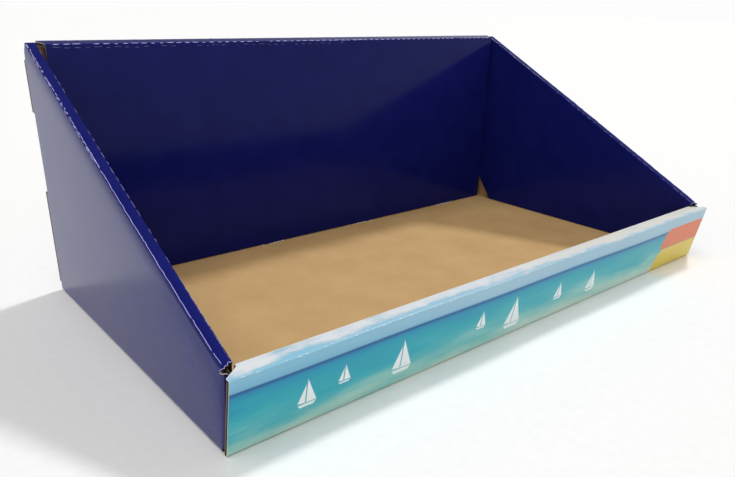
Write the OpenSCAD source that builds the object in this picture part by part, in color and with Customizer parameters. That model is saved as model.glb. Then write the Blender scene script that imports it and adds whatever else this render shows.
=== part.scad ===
// Counter display tray, folded from one die-cut sheet of corrugated board.
// Every wall is one strip of the sheet: up from the base, over a ledge and down again on the inside.
// X runs along the front, Y from front to back and Z up; the origin is under the middle of the tray.

/* [Board] */
// Thickness of the corrugated board
board_t = 3; // [2.5:0.1:3.4]
// Space between layers of board that lie against each other
layer_gap = 0.3; // [0.2:0.1:0.4]
// How much a crease crushes the board, so that a fold is thinner and shorter than the panels that it joins
crease_crush = 0.2; // [0.1:0.05:0.3]

/* [Base] */
// Width over the two side walls
tray_w = 600; // [500:10:800]
// Depth of the base over its front and back folds
tray_d = 318; // [260:1:400]

/* [Back wall] */
// Height of the back wall
back_h = 223; // [205:1:260]
// Depth of the ledge on top of the back wall
back_ledge = 13; // [11.5:0.5:16]
// Fall of that ledge towards the inside of the tray
back_ledge_fall = 12; // [0:1:16]
// Space between each end of the back ledge and the side wall, at the outer crease
back_ledge_space = 1; // [0.5:0.5:3]
// Space between each end of the back ledge and the side wall, at the inner crease
back_inner_space = 5; // [3:0.5:8]
// Height of the cut that takes off each top corner of the outer back panel
back_corner_h = 12; // [6:1:20]
// Height of the bottom of the shallow recess in each end of the outer back panel
recess_z = 96; // [60:1:110]
// Length of that recess
recess_h = 70; // [40:1:80]
// Depth of that recess
recess_d = 2; // [1:0.5:3]

/* [Side walls] */
// Height of the slanted crease at the back of a side wall
side_back_h = 219.5; // [180:0.5:220]
// Height of the slanted crease at the front of a side wall
side_front_h = 58.5; // [55:0.5:80]
// Width of the slanted ledge
side_ledge = 10; // [8.5:0.5:12]
// How much further back the slanted ledge starts at its inner crease than at its outer one
side_ledge_cut = 5; // [3:0.5:8]
// Height of the cut that takes off the lower back corner of an inner side panel
relief_h = 38; // [20:1:45]
// Length of that cut along the floor
relief_d = 28; // [15:1:35]

/* [Front wall] */
// Height of the front wall
front_h = 58.5; // [56:0.5:64]
// Outward lean of the printed front panel
front_lean = 8.2; // [7.4:0.2:9]
// Depth of the ledge on top of the front wall
front_ledge = 15; // [14:0.5:15.5]
// How much shorter each end of the front ledge is at its inner crease
front_mitre = 12; // [10:1:16]
// How much shorter each end of the inner front panel is at the floor than at its crease
front_taper = 1; // [0.7:0.1:2]

/* [Flaps] */
// Length of the flap that each side wall turns in behind the front panel
front_flap = 70; // [40:5:120]
// Length of the flap that each side wall turns in behind the back panel
back_flap = 90; // [40:5:120]
// Height of the back flap
back_flap_h = 176; // [120:1:180]
// Taper at the free end of a flap
flap_taper = 6; // [2:1:10]
// Space between the bottom of a flap and the base
flap_foot = 1; // [0.5:0.5:2]

/* [Tabs] */
// Width of a locking tab
tab_w = 26; // [15:1:40]
// Distance of the inner tabs from the middle
inner_tab_x = 68; // [40:1:90]
// Distance of the outer tabs from the outside of the side walls
outer_tab_inset = 83; // [60:1:100]
// Room around a tab in its slot
slot_room = 0.5; // [0.4:0.1:0.8]

/* [Hidden] */
$fn = 64;

// Half widths across the tray: each panel is a little narrower than the one that it is folded from
half_w = tray_w / 2;
base_half = half_w - board_t;
inside_half = half_w - side_ledge;
back_crease_half = base_half - board_t;
back_ledge_half = inside_half - back_ledge_space;
back_inner_half = inside_half - back_inner_space;
back_foot_half = inside_half - layer_gap;
front_inner_half = half_w - front_mitre;
front_foot_half = front_inner_half - front_taper;
narrower = 2 * crease_crush;

// Lengths of the strips, along the inner face of the board from fold to fold
back_rise = back_h - 2 * board_t;
back_run = (back_ledge - 2 * board_t) / cos(back_ledge_fall);
side_run = side_ledge - 2 * board_t;
front_rise = (front_h - 2 * board_t) / cos(front_lean);
front_run = front_ledge - 2 * board_t;

// Front and back folds on the upper face of the base: the leaning front counts in the total depth
lean_out = front_rise * sin(front_lean);
back_y = (tray_d + lean_out) / 2 - board_t;
front_y = back_y - tray_d + 2 * board_t;

// The inner front panel stands on the floor behind the side walls' flaps, so it leans less than the outer one
front_foot = board_t + 2 * layer_gap;
inner_lean = atan2(front_foot + lean_out - front_run, front_h - 2 * board_t);
front_fall = (front_h - 2 * board_t - layer_gap) / cos(inner_lean);

// A side wall ends at the folds of its two flaps, and its crease climbs from the front to the back
side_front_y = front_y + layer_gap + board_t;
side_back_y = back_y - layer_gap - board_t;
side_front_rise = side_front_h - board_t;
side_back_rise = side_back_h - board_t;
crease_front_y = side_front_y - side_front_rise * tan(inner_lean);
crease_back_y = back_y - layer_gap;
slope = atan2(side_back_rise - side_front_rise, crease_back_y - crease_front_y);
crease_l = (crease_back_y - crease_front_y) / cos(slope);
far = tray_w + tray_d;

// The front flap hangs clear of the base and of the ledge above it
front_flap_h = front_h - 3 * board_t - flap_foot;

// Tabs reach through the base to just short of its underside
tab_drop = board_t + layer_gap / 2;
tab_places = [-half_w + outer_tab_inset, -inner_tab_x, inner_tab_x, half_w - outer_tab_inset];

// Colour of the printed outside of the sheet
print_blue = "midnightblue";

// An outline that is the same on both sides of x = 0, from the points of its right half
function both_sides(right) =
    concat(right, [for (i = [len(right) - 1 : -1 : 0]) [-right[i].x, right[i].y]]);

// A flat panel: the inner face of the board is at z = 0 and the printed face is below it
module panel() {
    translate([0, 0, -board_t]) linear_extrude(board_t) children();
}

// The rounded outside of a fold along x, where the sheet arrives along +y and turns up by an angle
module bend(from_x, to_x, angle) {
    reach = 2 * board_t;
    translate([from_x, 0, 0]) rotate([90, 0, 90]) linear_extrude(to_x - from_x) intersection() {
        circle(board_t - crease_crush);
        translate([0, -reach]) square([reach, 2 * reach]);
        rotate(angle) translate([-reach, -reach]) square([reach, 2 * reach]);
    }
}

// A fold across the tray at the end of a panel of that half width
module fold(panel_half, angle) {
    bend(crease_crush - panel_half, panel_half - crease_crush, angle);
}

// The next panel along the strip: the sheet runs on for a length and then turns up by an angle
module turned(run, angle) {
    translate([0, run, 0]) rotate([angle, 0, 0]) children();
}

// The lower edge of an inner panel, with tabs that drop through the base
module tabs(panel_l) {
    for (x = tab_places)
        translate([x - tab_w / 2, panel_l - tab_w / 2]) square([tab_w, tab_w / 2 + tab_drop]);
}

// The slots for one row of tabs, centred on y = 0 and as deep as the board
module slots() {
    slot = [tab_w, board_t] + 2 * slot_room * [1, 1];
    for (x = tab_places) translate([x, 0]) square(slot, center = true);
}

module base() {
    front_slot_y = front_y + front_foot + board_t / 2;
    back_slot_y = back_y + board_t - back_ledge + board_t / 2;
    panel() difference() {
        translate([-base_half, front_y]) square([2 * base_half, back_y - front_y]);
        translate([0, front_slot_y]) slots();
        translate([0, back_slot_y]) slots();
    }
}

// The back panel covers the ends of the side walls, with a shallow recess in each of its own ends
module outer_back() {
    panel() polygon(both_sides([
        [back_crease_half, 0],
        [half_w, 2 * board_t],
        [half_w, recess_z - board_t],
        [half_w - recess_d, recess_z - board_t],
        [half_w - recess_d, recess_z + recess_h - board_t],
        [half_w, recess_z + recess_h - board_t],
        [half_w, back_rise - back_corner_h],
        [back_ledge_half, back_rise]
    ]));
}

// The inner back panel widens towards the floor, where it fits between the inner side panels
module inner_back() {
    fall = back_rise - back_run * sin(back_ledge_fall) - layer_gap;
    panel() {
        polygon(both_sides([[back_inner_half - narrower, 0], [back_foot_half, fall]]));
        tabs(fall);
    }
}

module back_wall() {
    translate([0, back_y, 0]) {
        fold(back_crease_half + narrower, 90);
        turned(0, 90) {
            outer_back();
            translate([0, back_rise, 0]) fold(back_ledge_half, 90 + back_ledge_fall);
            turned(back_rise, 90 + back_ledge_fall) {
                panel() polygon(both_sides([[back_ledge_half - narrower, 0], [back_inner_half, back_run]]));
                translate([0, back_run, 0]) fold(back_inner_half, 90 - back_ledge_fall);
                turned(back_run, 90 - back_ledge_fall) inner_back();
            }
        }
    }
}

// The front wall leans out, so its folds turn by less and by more than a right angle
module front_wall() {
    translate([0, front_y, 0]) rotate(180) {
        fold(half_w, 90 - front_lean);
        turned(0, 90 - front_lean) {
            panel() translate([-half_w, 0]) square([tray_w, front_rise]);
            translate([0, front_rise, 0]) fold(half_w, 90 + front_lean);
            turned(front_rise, 90 + front_lean) {
                panel() polygon(both_sides([[half_w - narrower, 0], [front_inner_half, front_run]]));
                translate([0, front_run, 0]) fold(front_inner_half, 90 - inner_lean);
                turned(front_run, 90 - inner_lean) panel() {
                    polygon(both_sides([[front_inner_half - narrower, 0], [front_foot_half, front_fall]]));
                    tabs(front_fall);
                }
            }
        }
    }
}

// A flap turned in from the end of a side wall, with its fold along x from 0 to its height
module flap(height, length) {
    bend(0, height, 90);
    turned(0, 90) panel() polygon([
        [0, 0],
        [height, 0],
        [height - flap_taper, length],
        [flap_taper, length]
    ]);
}

// The slanted crease and the front fold of a side wall, each laid along x
module at_crease() {
    translate([crease_front_y, side_front_rise]) rotate(slope) children();
}

module at_front_fold() {
    translate([side_front_y, 0]) rotate(90 + inner_lean) children();
}

// Everything past a fold that lies along x
module beyond_fold() {
    translate([-far, 0]) square([2 * far, far]);
}

// The outer panel, where x is the tray's Y and y is the height above the floor, with its two flaps
module outer_side() {
    panel() difference() {
        translate([crease_front_y - board_t, 0])
            square([side_back_y - crease_front_y + board_t, side_back_rise]);
        at_crease() beyond_fold();
        at_front_fold() beyond_fold();
    }
    at_front_fold() translate([flap_foot, 0, 0]) flap(front_flap_h, front_flap);
    translate([side_back_y, back_flap_h + flap_foot, 0]) rotate(-90) flap(back_flap_h, back_flap);
}

// The inner panel, where x is the distance back from the front of the crease and y the drop below it
module inner_side() {
    start = (side_ledge_cut + narrower) * cos(slope);
    end = side_back_y - layer_gap - crease_front_y;
    foot = side_front_rise - layer_gap;
    panel() difference() {
        polygon([
            [start, -side_back_rise],
            [end, -side_back_rise],
            [end, foot - relief_h],
            [end - relief_d, foot],
            [start, foot]
        ]);
        rotate(-slope) mirror([0, 1]) beyond_fold();
    }
}

// The left wall: turning by the slope before and after the slanted ledge keeps both panels upright
module side_wall() {
    translate([-base_half, 0, 0]) rotate(90) {
        bend(side_front_y, side_back_y, 90);
        turned(0, 90) {
            outer_side();
            at_crease() {
                bend(crease_crush, crease_l, 90);
                turned(0, 90) {
                    panel() polygon([
                        [crease_crush, 0],
                        [crease_l, 0],
                        [crease_l, side_run],
                        [side_ledge_cut, side_run]
                    ]);
                    translate([0, side_run, 0]) bend(side_ledge_cut + crease_crush, crease_l, 90);
                    turned(side_run, 90) rotate(slope) inner_side();
                }
            }
        }
    }
}

module folded_tray() {
    color(print_blue) translate([0, 0, board_t]) {
        base();
        back_wall();
        front_wall();
        side_wall();
        mirror([1, 0, 0]) side_wall();
    }
}

folded_tray();
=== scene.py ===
# %% [markdown]
# This lesson dresses the CAD model of a counter display tray in Blender.
# The real tray is one die-cut sheet of corrugated board, printed on one side and folded up without glue.
# Each wall goes up, over a narrow ledge and down again, so the printed side shows inside and outside.
# The CAD model fixes the shape and the size.
# Blender adds the print, the bare kraft, the cut edges and the creases.

import math
from collections import namedtuple
from functools import partial

import bmesh
import bpy
from mathutils import Matrix, Vector


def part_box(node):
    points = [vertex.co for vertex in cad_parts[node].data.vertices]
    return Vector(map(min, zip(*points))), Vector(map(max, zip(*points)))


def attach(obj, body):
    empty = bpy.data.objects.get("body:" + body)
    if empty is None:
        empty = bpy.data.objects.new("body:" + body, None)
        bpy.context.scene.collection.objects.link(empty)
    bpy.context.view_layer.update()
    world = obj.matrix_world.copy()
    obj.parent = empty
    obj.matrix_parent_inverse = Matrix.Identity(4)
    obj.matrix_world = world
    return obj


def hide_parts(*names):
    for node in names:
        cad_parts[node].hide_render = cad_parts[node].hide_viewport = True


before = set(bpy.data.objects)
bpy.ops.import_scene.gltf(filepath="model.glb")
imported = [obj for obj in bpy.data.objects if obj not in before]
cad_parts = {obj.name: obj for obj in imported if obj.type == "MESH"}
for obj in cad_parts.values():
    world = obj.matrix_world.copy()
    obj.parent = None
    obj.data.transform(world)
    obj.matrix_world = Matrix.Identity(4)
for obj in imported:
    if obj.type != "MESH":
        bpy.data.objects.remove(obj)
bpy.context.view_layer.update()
print("CAD nodes:", sorted(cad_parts))

# %% [markdown]
# The sheet is folded again here, so the script needs the sizes that drive the folds.
# The width and the height come from the CAD box, and the rest are written as real sizes in millimetres.
# Lengths stay in millimetres until the mesh is made, because a paper sheet is easier to think of that way.

# %% Sizes of the folded sheet
MM = 0.001
low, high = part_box("folded_tray")
half_w = (high.x - low.x) / 2 / MM
back_h = high.z / MM

board_t = 3.0
layer_gap = 0.3
tray_d = 318.0
back_ledge = 13.0
back_ledge_fall = math.radians(12)
side_back_h = 219.5
side_front_h = 58.5
side_ledge = 10.0
front_h = 58.5
front_lean = math.radians(8.2)
front_ledge = 15.0

lean_out = (front_h - 2 * board_t) * math.tan(front_lean)
back_y = (tray_d + lean_out) / 2 - board_t
front_y = back_y - tray_d + 2 * board_t
base_half = half_w - board_t
inside_half = half_w - side_ledge
print(f"Tray: {2 * half_w:.0f} wide, {back_h:.0f} high, folds at y {front_y:.1f} and {back_y:.1f} mm")

# %% [markdown]
# A folded wall is a strip of sheet that turns at creases. Each crease is a straight line between two points.
# Between two creases the sheet is flat. At a plain crease its outside runs round an arc as wide as the board
# is thick. A cut crease, with slits through the printed liner, turns on a much smaller radius.
# Bevels on a box would lose the way that the print runs over a crease, so the strip is built line by line.

# %% Lines across a strip
BEND_STEPS = 6
CUT_RADIUS = 1.0
GRID = 12.0
NEAR_CREASE = (0.4, 1.6, 3.4, 6.5)
CLOSEST = NEAR_CREASE[0] / 4
STRAIGHT = 0.02
SAME = 0.001

Line = namedtuple("Line", "first last facing lift length part")


def crease(first, last):
    """A crease line, from its first point to its last one."""
    return Vector(first), Vector(last)


def spaced(length, extra=()):
    """Fractions of a length: an even grid, finer lines near both ends, and any extra ones."""
    count = max(1, round(length / GRID))
    near = [step / length for step in NEAR_CREASE if step < length / 2]
    marks = [i / count for i in range(count + 1)] + near + [1 - mark for mark in near] + list(extra)
    kept = []
    for mark in sorted(marks):
        if not kept or (mark - kept[-1]) * length > CLOSEST:
            kept.append(mark)
    return kept


def same_place(line, other):
    return (line.first - other.first).length < SAME and (line.last - other.last).length < SAME


def same_line(line, other):
    return same_place(line, other) and (line.lift - other.lift).length < SAME


def strip_lines(creases, start_facing, extra_lines, cut):
    """Lines across a strip, fanned out at each crease. Parts are even at a crease and odd on a panel."""
    lines = []
    facing = Vector(start_facing)
    length = 0.0
    for k, ((first, last), (next_first, next_last)) in enumerate(zip(creases, creases[1:])):
        run = (next_first + next_last - first - last) / 2
        turned = (last - first).cross(run).normalized()
        angle = facing.angle(turned)
        if angle > STRAIGHT:
            radius = CUT_RADIUS if k in cut else board_t
            to_centre = (facing + turned) * (board_t - radius) / (1 + facing.dot(turned))
            length += (board_t - radius) * math.tan(angle / 2)
            for share in (step / BEND_STEPS for step in range(BEND_STEPS + 1)):
                fanned = facing.slerp(turned, share)
                place = length + radius * angle * share
                lines.append(Line(first, last, fanned, to_centre + fanned * radius, place, 2 * k))
            length = place + (board_t - radius) * math.tan(angle / 2)
        for mark in spaced(run.length, extra_lines.get(k, ())):
            ends = (first.lerp(next_first, mark), last.lerp(next_last, mark))
            part = 2 * k + 1 if mark else 2 * k
            lines.append(Line(*ends, turned, turned * board_t, length + run.length * mark, part))
        length += run.length
        facing = turned
    return [line for n, line in enumerate(lines) if n == 0 or not same_line(line, lines[n - 1])]


print("A ledge 15 mm wide is divided at", [round(15 * mark, 1) for mark in spaced(15)], "mm")

# %% [markdown]
# The sheet collects the points and faces of all strips. A face keeps its place on the flat sheet
# and its finish: gloss blue print, satin blue print, the sea print, bare kraft, a cut edge,
# or a cut edge painted nearly black as painted shade.

# %% Points and faces of the sheet
# The last finish is a cut edge painted nearly black, as painted shade.
BLUE, SATIN, SEA, KRAFT, RAW, SHADED_EDGE = range(6)


class Sheet:
    """Points and faces of the folded sheet, in millimetres, until they become one mesh."""

    def __init__(self):
        self.points = []
        self.faces = []
        self.places = []
        self.finishes = []

    def add_points(self, points):
        start = len(self.points)
        self.points.extend(points)
        return list(range(start, len(self.points)))

    def add_face(self, corners, places, finish):
        unique = [n for n, corner in enumerate(corners) if corner not in corners[:n]]
        if len(unique) > 2:
            self.faces.append([corners[n] for n in unique])
            self.places.append([places[n] for n in unique])
            self.finishes.append(finish)


sheet = Sheet()
print("The sheet starts with", len(sheet.faces), "faces")

# %% [markdown]
# The next function turns lines into a closed shell. Each cell of the grid gets a printed face
# and a kraft face, and a cell with no neighbour gets a cut edge there. A rule says which cells are kept,
# so slots and tabs are only cells that are left out, and the shell stays closed around them.

# %% Add a strip to the sheet


def add_strip(creases, start_facing, marks, keep=None, extra_lines=None, cut=(),
              flutes="x", print_of=None, edge_finish=RAW):
    """Adds one closed strip to the sheet and gives back its lines. Cut names its creases that are slit."""
    lines = strip_lines(creases, start_facing, extra_lines or {}, cut)
    outer, inner, blank = [], [], []
    for n, line in enumerate(lines):
        points = [line.first.lerp(line.last, mark) for mark in marks]
        on_crease = n > 0 and same_place(line, lines[n - 1])
        inner.append(inner[-1] if on_crease else sheet.add_points(points))
        outer.append(sheet.add_points([point + line.lift for point in points]))
        blank.append([
            (point.x, line.length) if flutes == "x" else (line.length, point.y) for point in points
        ])

    def kept(i, j):
        if not (0 <= i < len(marks) - 1 and 0 <= j < len(lines) - 1):
            return False
        around = [row[b][a] for row in (outer, inner) for b in (j, j + 1) for a in (i, i + 1)]
        middle = sum((sheet.points[n] for n in around), Vector()) / len(around)
        return keep is None or keep(lines[j + 1].part, middle)

    for i in range(len(marks) - 1):
        for j in range(len(lines) - 1):
            if not kept(i, j):
                continue
            ring = [(i, j), (i + 1, j), (i + 1, j + 1), (i, j + 1)]
            flat = [blank[b][a] for a, b in ring]
            ink = print_of(lines[j + 1].part) if print_of else BLUE
            sheet.add_face([outer[b][a] for a, b in ring], flat, ink)
            sheet.add_face([inner[b][a] for a, b in ring], flat, KRAFT)
            beside = [(i, j - 1), (i + 1, j), (i, j + 1), (i - 1, j)]
            for (a, b), (c, d), other in zip(ring, ring[1:] + ring[:1], beside):
                if not kept(*other):
                    edge = [outer[b][a], outer[d][c], inner[d][c], inner[b][a]]
                    along = (blank[b][a][0], blank[d][c][0])
                    depths = [(along[0], 0), (along[1], 0), (along[1], board_t), (along[0], board_t)]
                    sheet.add_face(edge, depths, edge_finish)
    return lines


print("Finishes of a strip: print outside, kraft inside, and a cut edge where it ends")

# %% [markdown]
# The base is the middle of the sheet. Its printed side is underneath, so the tray's floor is bare kraft.
# Two rows of slots take the tabs of the inner panels. A slot is a set of grid cells that are left out,
# and the builder closes every open side with a cut edge.

# %% Base with slots
tab_w = 26.0
tab_from_middle = 68.0
tab_from_end = 83.0
slot_room = 0.5
tab_places = [side * x for side in (-1, 1) for x in (tab_from_middle, half_w - tab_from_end)]
front_foot = board_t + 2 * layer_gap
slot_rows = [front_y + front_foot + board_t / 2, back_y + 1.5 * board_t - back_ledge]
slot_half = [tab_w / 2 + slot_room, board_t / 2 + slot_room]
UNDERSIDE = (0, 0, -1)


def outside_slots(part, place):
    in_column = any(abs(place.x - x) < slot_half[0] for x in tab_places)
    in_row = any(abs(place.y - y) < slot_half[1] for y in slot_rows)
    return not (in_column and in_row)


def marks_at(first, last, places):
    """Fractions between two ends that fall on the given places."""
    return [(place - first) / (last - first) for place in places]


slot_sides = [x + side * slot_half[0] for x in tab_places for side in (-1, 1)]
slot_ends = [y + side * slot_half[1] for y in slot_rows for side in (-1, 1)]
add_strip(
    [crease((base_half, front_y, board_t), (-base_half, front_y, board_t)),
     crease((base_half, back_y, board_t), (-base_half, back_y, board_t))],
    UNDERSIDE,
    spaced(2 * base_half, marks_at(base_half, -base_half, slot_sides)),
    keep=outside_slots,
    extra_lines={0: marks_at(front_y, back_y, slot_ends)},
)
print("Base faces:", len(sheet.faces))

# %% [markdown]
# The front wall leans out. Its ledge is mitred at both ends, and its inner panel drops almost to the floor,
# where four tabs lock into the base. The builder numbers the parts of a strip along its length,
# so the sea print can stop at the inner crease and leave the inner panel blue.

# %% Front wall
front_mitre = 12.0
front_taper = 1.0
front_inner_half = half_w - front_mitre
front_foot_half = front_inner_half - front_taper
front_top_y = front_y - lean_out
front_inner_y = front_top_y + front_ledge - 2 * board_t
front_foot_y = front_y + front_foot
foot_gap = 0.9
foot_z = board_t + foot_gap
front_run = Vector((0, front_foot_y - front_inner_y, foot_z + board_t - front_h))
tab_lean = front_run.normalized() * (board_t + layer_gap / 2)
LEDGE_CREASE, LEDGE, INNER_CREASE, INNER_PANEL, FRONT_TABS = 2, 3, 4, 5, 7


def across(half, y, z, sign=1):
    """A crease that runs along the width of the tray."""
    return crease((-sign * half, y, z), (sign * half, y, z))


def in_tab(place):
    return any(abs(place.x - x) < tab_w / 2 for x in tab_places)


def tab_marks(half, sign=1):
    sides = [x + side * tab_w / 2 for x in tab_places for side in (-1, 1)]
    return marks_at(-sign * half, sign * half, sides)


front_lines = add_strip(
    [across(half_w, front_y, board_t),
     across(half_w, front_top_y, front_h - board_t),
     across(front_inner_half, front_inner_y, front_h - board_t),
     across(front_foot_half, front_foot_y, foot_z),
     across(front_foot_half, front_foot_y + tab_lean.y, foot_z + tab_lean.z)],
    UNDERSIDE,
    spaced(2 * half_w, tab_marks(front_foot_half)),
    keep=lambda part, place: part != FRONT_TABS or in_tab(place),
    cut=(1, 2),
    print_of=lambda part: SATIN if part >= INNER_PANEL else SEA,
)
print("Front wall: outer crease at y", round(front_top_y, 1), "inner crease at y", round(front_inner_y, 1))

# %% [markdown]
# The back wall is the tallest. Its outer panel covers the ends of the side walls, has a shallow recess
# in each end and loses its top corners. Its ledge falls a little towards the inside of the tray.

# %% Back wall
back_ledge_room = 1.0
back_inner_room = 5.0
back_ledge_half = inside_half - back_ledge_room
back_inner_half = inside_half - back_inner_room
back_foot_half = inside_half - layer_gap
back_crease_half = base_half - board_t
back_shoulder = 3 * board_t
back_corner_h = 12.0
recess_z = (96.0, 166.0)
recess_d = 2.0
back_top = back_h - board_t
back_inner_y = back_y - (back_ledge - 2 * board_t)
back_inner_top = back_top - (back_ledge - 2 * board_t) * math.tan(back_ledge_fall)
RECESS_PANEL, BACK_LEDGE_CREASE, BACK_INNER_CREASE, BACK_INNER_PANEL, BACK_TABS = 3, 6, 8, 9, 11


def back_cells(part, place):
    if part == RECESS_PANEL:
        return abs(place.x) < half_w - recess_d or not recess_z[0] < place.z < recess_z[1]
    return part != BACK_TABS or in_tab(place)


recess_marks = [recess_d / (2 * half_w), 1 - recess_d / (2 * half_w)]
back_lines = add_strip(
    [across(back_crease_half, back_y, board_t, -1),
     across(half_w, back_y, back_shoulder, -1),
     across(half_w, back_y, back_top - back_corner_h, -1),
     across(back_ledge_half, back_y, back_top, -1),
     across(back_inner_half, back_inner_y, back_inner_top, -1),
     across(back_foot_half, back_inner_y, foot_z, -1),
     across(back_foot_half, back_inner_y, layer_gap / 2, -1)],
    UNDERSIDE,
    spaced(2 * half_w, tab_marks(back_foot_half, -1) + recess_marks),
    keep=back_cells,
    extra_lines={1: marks_at(back_shoulder, back_top - back_corner_h, recess_z)},
    cut=(3, 4),
    print_of=lambda part: SATIN if part >= BACK_LEDGE_CREASE else BLUE,
)
print("Back wall: ledge falls to", round(back_inner_top, 1), "mm")

# %% [markdown]
# A side wall turns over a slanted crease, so its ledge faces up and forwards while both panels stay upright.
# The front end of the ledge is a small round hollow, because the board gives way there at the corner.
# At the back the outer panel reaches the back wall, apart from the short stretch where its flap folds in.
# The lower back corner of the inner panel is cut away, and there the kraft inside of the outer panel shows.
# The right wall is the left one with its creases mirrored and run the other way, so the print stays outside.

# %% Lines of a side wall
side_ledge_cut = 2.5
ledge_hollow = 1.3
HOLLOW_SHARES = (0.12, 0.3, 0.5, 0.7, 0.88)

inner_lean = math.atan2(front_foot + lean_out - (front_ledge - 2 * board_t), front_h - 2 * board_t)
side_front_y = front_y + layer_gap + board_t
side_back_y = back_y - layer_gap - board_t
crease_front_y = side_front_y - (side_front_h - board_t) * math.tan(inner_lean)
crease_back_y = back_y - layer_gap
slope = math.atan2(side_back_h - side_front_h, crease_back_y - crease_front_y)
inner_start_y = crease_front_y + side_ledge_cut * math.cos(slope)


def ridge_z(y):
    """Height of the slanted crease at a distance from the front."""
    return side_front_h + (y - crease_front_y) * math.tan(slope)


def sided(sign, back_point, front_point):
    """A crease of the left wall, or its mirror image run the other way."""
    points = [Vector(back_point), Vector(front_point)]
    for point in points:
        point.x *= sign
    return tuple(points if sign > 0 else reversed(points))


def hollow_crease(sign, share):
    """A line along the ledge, without a fold. Its front end lies on the round hollow by the corner."""
    x = -base_half + share * (base_half - inside_half - board_t)
    bulge = math.sqrt(1 - (2 * share - 1) ** 2)
    y = crease_front_y + share * (inner_start_y - crease_front_y) + bulge * ledge_hollow * math.cos(slope)
    return sided(sign, (x, crease_back_y, side_back_h), (x, y, ridge_z(y)))


print("Side walls: ridge slopes at", round(math.degrees(slope), 1), "degrees")

# %% [markdown]
# Each side wall is then one strip from the base up to the ridge, over the ledge and down inside.
# The flutes run from front to back in the whole sheet, so they lie level in a side wall,
# and the way up the wall counts along the width of the flat sheet.

# %% Side walls
relief_h = 38.0
relief_d = 28.0
inner_end_y = side_back_y - layer_gap
inner_foot_y = side_front_y + layer_gap
SIDE_INNER_FOLD = 2 + len(HOLLOW_SHARES)
SIDE_INNER_CREASE = 2 * SIDE_INNER_FOLD
SIDES = {"left": 1, "right": -1}


def side_cells(part, place):
    at_flap_fold = place.y > side_back_y and recess_z[0] < place.z < recess_z[1]
    return part >= LEDGE_CREASE or not at_flap_fold


def add_side(sign):
    x = -base_half
    ledge_x = -inside_half - board_t
    relief_z = board_t + relief_h
    inner_start_z = ridge_z(inner_start_y)
    creases = [
        sided(sign, (x, crease_back_y, board_t), (x, side_front_y, board_t)),
        sided(sign, (x, crease_back_y, side_back_h), (x, crease_front_y, side_front_h)),
        *[hollow_crease(sign, share) for share in HOLLOW_SHARES],
        sided(sign, (ledge_x, crease_back_y, side_back_h), (ledge_x, inner_start_y, inner_start_z)),
        sided(sign, (ledge_x, inner_end_y, relief_z), (ledge_x, inner_foot_y, relief_z)),
        sided(sign, (ledge_x, inner_end_y - relief_d, foot_z), (ledge_x, inner_foot_y, foot_z)),
    ]
    back_mark = board_t / (crease_back_y - side_front_y)
    return add_strip(
        creases, UNDERSIDE,
        spaced(crease_back_y - crease_front_y, [back_mark if sign > 0 else 1 - back_mark]),
        keep=side_cells,
        extra_lines={0: marks_at(board_t, side_back_h, recess_z)},
        cut=(1, SIDE_INNER_FOLD),
        flutes="y",
        print_of=lambda part: SATIN if part >= LEDGE_CREASE else BLUE,
        # Its cut edges get the nearly black painted shade.
        edge_finish=SHADED_EDGE,
    )


side_lines = {name: add_side(sign) for name, sign in SIDES.items()}
print("Faces with both side walls:", len(sheet.faces))

# %% [markdown]
# Each side wall also has a flap at its front and at its back. They turn in at the corners and lie hidden
# between the double walls, where they keep the tray square. Only their top edges show, in the corner gaps.

# %% Corner flaps
flap_foot = 1.0
front_flap = 70.0
back_flap = 90.0
back_flap_h = 176.0
flap_taper = 6.0
flap_shoulder = 4.0
front_corner_h = (side_front_h - board_t) / math.cos(inner_lean) - flap_foot
front_flap_h = front_corner_h - board_t - layer_gap
front_up = Vector((0, -math.sin(inner_lean), math.cos(inner_lean)))
back_up = Vector((0, 0, 1))


def add_flap(sign, low, up, fold, body, length):
    """A flap turned in from the end of a side wall. Its fold and its body are ranges up that end."""
    taper = math.copysign(flap_taper, body[1] - body[0])
    free_end = (body[0] + taper, body[1] - taper)
    edges = []
    for reach, (first, last) in ((0, fold), (flap_shoulder, body), (length, free_end)):
        place = low + Vector((reach, 0, 0))
        edges.append(sided(sign, place + up * first, place + up * last))
    # The flap's cut edges get the nearly black painted shade too.
    return add_strip(edges, (-sign, 0, 0), spaced(abs(body[1] - body[0])), edge_finish=SHADED_EDGE)


front_flap_lines = {}
for name, sign in SIDES.items():
    back_low = Vector((-base_half, side_back_y, board_t + flap_foot))
    back_fold = [z - back_low.z for z in recess_z]
    add_flap(sign, back_low, back_up, back_fold, (0, back_flap_h), back_flap)
    front_low = Vector((-base_half, side_front_y, board_t)) + front_up * flap_foot
    front_flap_lines[name] = add_flap(
        sign, front_low, front_up, (front_corner_h, 0), (front_flap_h, 0), front_flap)
print("Sheet:", len(sheet.points), "points and", len(sheet.faces), "faces")

# %% [markdown]
# Folded board is never quite flat. A side wall bows out between its ends and rolls in towards its creases,
# and the long front edge waves a little. Each shift is a smooth rule of the place, of about a millimetre.

# %% Bow and roll of the board
SIDE_BOW = 1.2
ROLL_IN = 1.3
ROLL_REACH = 3.6
FRONT_WAVE = 0.5
FRONT_WAVE_LENGTH = 210.0
INSIDE_ROOM = 1.0


def share_of(value, whole):
    """How far a value is along a whole, kept between nought and one."""
    return min(max(value / whole, 0), 1)


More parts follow.
